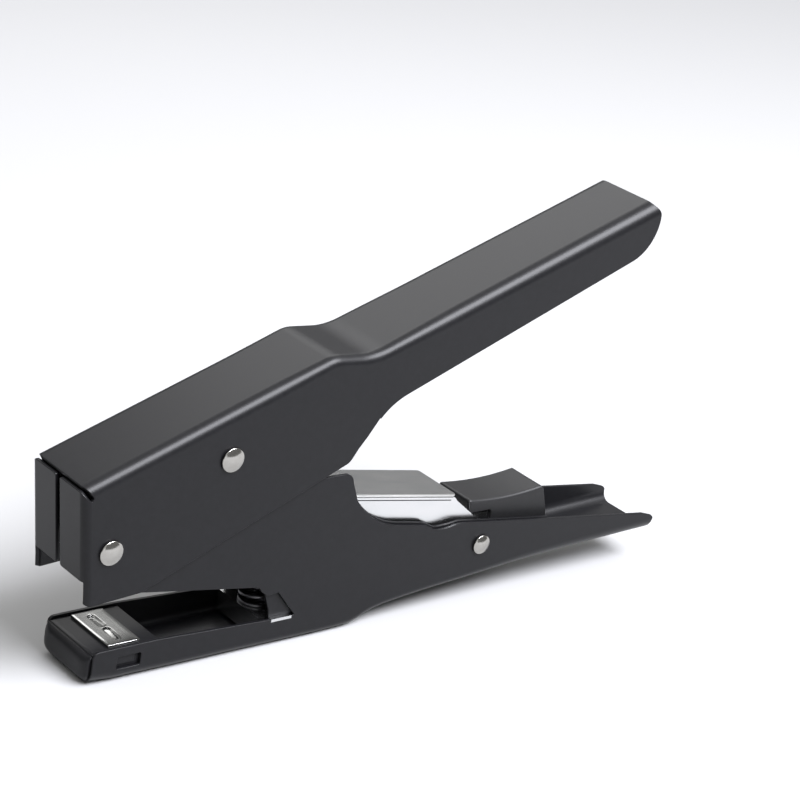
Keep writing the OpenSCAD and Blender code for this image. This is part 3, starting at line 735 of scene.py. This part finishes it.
def with_painted_seam_shade(base, start, stop):
    """A copy of a material with a painted shade line between two depths under the cover's face,
    standing in for the shadow in the gap between the fold and the wall below it.
    """
    m = base.copy()
    m.name = "zinc_with_painted_seam_shade"
    per_mm = 1000
    n, l = m.node_tree.nodes, m.node_tree.links
    b = n["Principled BSDF"]
    tc = n.new("ShaderNodeTexCoord")
    depth = n.new("ShaderNodeVectorMath")
    depth.operation = "DOT_PRODUCT"
    up = Vector((math.sin(COVER_TILT), 0, math.cos(COVER_TILT)))
    depth.inputs[1].default_value = -up * per_mm
    l.new(tc.outputs["Object"], depth.inputs[0])
    shift = n.new("ShaderNodeMath")
    shift.inputs[1].default_value = on_cover(0, 0, 0).dot(up) * per_mm
    l.new(depth.outputs["Value"], shift.inputs[0])
    # The mask of the painted shade band, between the two depths
    line = n.new("ShaderNodeMath")
    line.operation = "COMPARE"
    line.inputs[1].default_value = (start + stop) / 2
    line.inputs[2].default_value = (stop - start) / 2
    l.new(shift.outputs[0], line.inputs[0])
    painted_shade_mix = n.new("ShaderNodeMix")
    painted_shade_mix.data_type = "RGBA"
    l.new(line.outputs[0], painted_shade_mix.inputs["Factor"])
    l.new(b.inputs["Base Color"].links[0].from_socket, painted_shade_mix.inputs["A"])
    # Painted shade: this dark grey stands in for the shadow in the gap under the cover's fold
    painted_shade_mix.inputs["B"].default_value = (0.05, 0.05, 0.055, 1)
    l.new(painted_shade_mix.outputs["Result"], b.inputs["Base Color"])
    return m


def loading_knob():
    """The moulded knob: hollowed top, soft upper edges and a notch over the rail in front."""
    bm = bmesh.new()
    front, rear, half = -3.6, 23.8, 6.74
    # The hollow of the top: centre and radius
    hollow_u, hollow_w, hollow_r = 4.8, 105.2, 94
    steps = 16
    top = []
    for i in range(steps + 1):
        u = rear - i * (rear - front) / steps
        top.append((u, hollow_w - math.sqrt(hollow_r**2 - (u - hollow_u) ** 2)))
    outline = top + [(-2.9, 7.9), (-2.5, 7.6), (4.8, 7.8), (5.3, 7.6), (5.6, 7.1)]
    outline += [(6.2, -3), (28.6, -3), (27, 5.2)]
    near = [bm.verts.new(on_track(u, -half, w)) for u, w in outline]
    far = [bm.verts.new(on_track(u, half, w)) for u, w in outline]
    bm.faces.new(near)
    bm.faces.new(far[::-1])
    for i in range(len(outline)):
        j = (i + 1) % len(outline)
        bm.faces.new((near[j], near[i], far[i], far[j]))
    finished(bm)
    # Soft edges: along the hollow on both sides, across its two ends, and down the front corners
    soft = [e for e in bm.edges if is_pair(e, near[: steps + 1]) or is_pair(e, far[: steps + 1])]
    ends = [{near[steps], far[steps]}, {near[0], far[0]}]
    ends += [{row[steps], row[steps + 1]} for row in (near, far)]
    for pair in ends:
        soft += [e for e in bm.edges if set(e.verts) == pair]
    bmesh.ops.bevel(bm, geom=soft, offset=1.0 * MM, segments=4, profile=0.5, affect="EDGES")
    piece("knob_body", bm, "loading_knob", 0, 0.25, 2, 50)


def is_pair(edge, chain):
    """Whether an edge joins two neighbours of a chain of vertices."""
    a, b = edge.verts
    return a in chain and b in chain and abs(chain.index(a) - chain.index(b)) == 1


# ---------------------------------------------------------------- pins and springs


def headed_pin(name, node, centre, shank, head, grip, height=1.5):
    """A riveted pin across the stapler, turned from one profile."""
    bm = bmesh.new()
    rim, dome = 0.22, 0.74
    edge = head - rim
    half = [(edge * t, height - dome * t * t) for t in (0, 0.25, 0.5, 0.75, 0.9, 1)]
    for a in (math.radians(d) for d in (25, 45, 65, 90)):
        half.append((edge + rim * math.sin(a), height - dome - rim + rim * math.cos(a)))
    half += [(head, 0.35), (head - 0.25, 0.2), (head - 0.3, 0.02), (shank, 0.0)]
    profile = [(r, grip / 2 + h) for r, h in half] + [(r, -grip / 2 - h) for r, h in half[::-1]]
    turns = 48
    rings = []
    for r, y in profile:
        if r == 0:
            rings.append([bm.verts.new(P(centre.x, y, centre.y))])
            continue
        ring = []
        for k in range(turns):
            a = 2 * math.pi * k / turns
            ring.append(bm.verts.new(P(centre.x + r * math.cos(a), y, centre.y + r * math.sin(a))))
        rings.append(ring)
    for a, b in zip(rings, rings[1:]):
        for k in range(turns):
            j = (k + 1) % turns
            face(bm, [a[k % len(a)], a[j % len(a)], b[j % len(b)], b[k % len(b)]])
    piece(name, finished(bm), node, 0, 0)


def coil(name, node, axis_points, r, wire, turns, sides=10, steps=28):
    """A wound spring along a straight line between two points, with closed flat end turns."""
    bm = bmesh.new()
    wire *= MM
    flat = 0.7
    a, b = axis_points
    length = (b - a).length
    ahead = (b - a).normalized()
    u = ahead.orthogonal().normalized()
    v = ahead.cross(u)
    rings = []
    total = int((turns + 2 * flat) * steps)
    for i in range(total + 1):
        t = i / steps
        rise = min(max((t - flat) / turns, 0), 1) * length
        ang = 2 * math.pi * t
        out = u * math.cos(ang) + v * math.sin(ang)
        mid = a + ahead * rise + out * r * MM
        ring = []
        for k in range(sides):
            c = 2 * math.pi * k / sides
            across, along = wire * math.cos(c), wire * math.sin(c)
            ring.append(bm.verts.new(mid + out * across + ahead * along))
        rings.append(ring)
    for p, q in zip(rings, rings[1:]):
        for k in range(sides):
            j = (k + 1) % sides
            bm.faces.new((p[k], p[j], q[j], q[k]))
    bm.faces.new(rings[0])
    bm.faces.new(rings[-1][::-1])
    return piece(name, finished(bm), node, 0, 0)


upper_lever()
lower_lever()
inner_channel()
anvil_block()
anvil_plate()
magazine_cover()
loading_knob()
lift_ends = (P(53.4, 0, 8.05), P(53.4, 0, 20.2))
spring = coil("lifting_coil", "lifting_spring", lift_ends, 4.3, 0.45, 4)
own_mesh(spring)
feed_ends = (on_track(-50.8, 0, 4.8), on_track(-2.3, 0, 4.8))
spring = coil("feed_coil", "pusher_spring", feed_ends, 1.25, 0.2, 17, 6, 14)
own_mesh(spring)
headed_pin("fulcrum_rivet", "fulcrum_pin", FULCRUM, 2.5, 3.25, 24)
headed_pin("push_rivet", "push_pin", PUSH, 2.2, 3.25, 24)
headed_pin("pivot_rivet", "magazine_pivot_pin", PIVOT, 2.0, 2.8, 21.6)
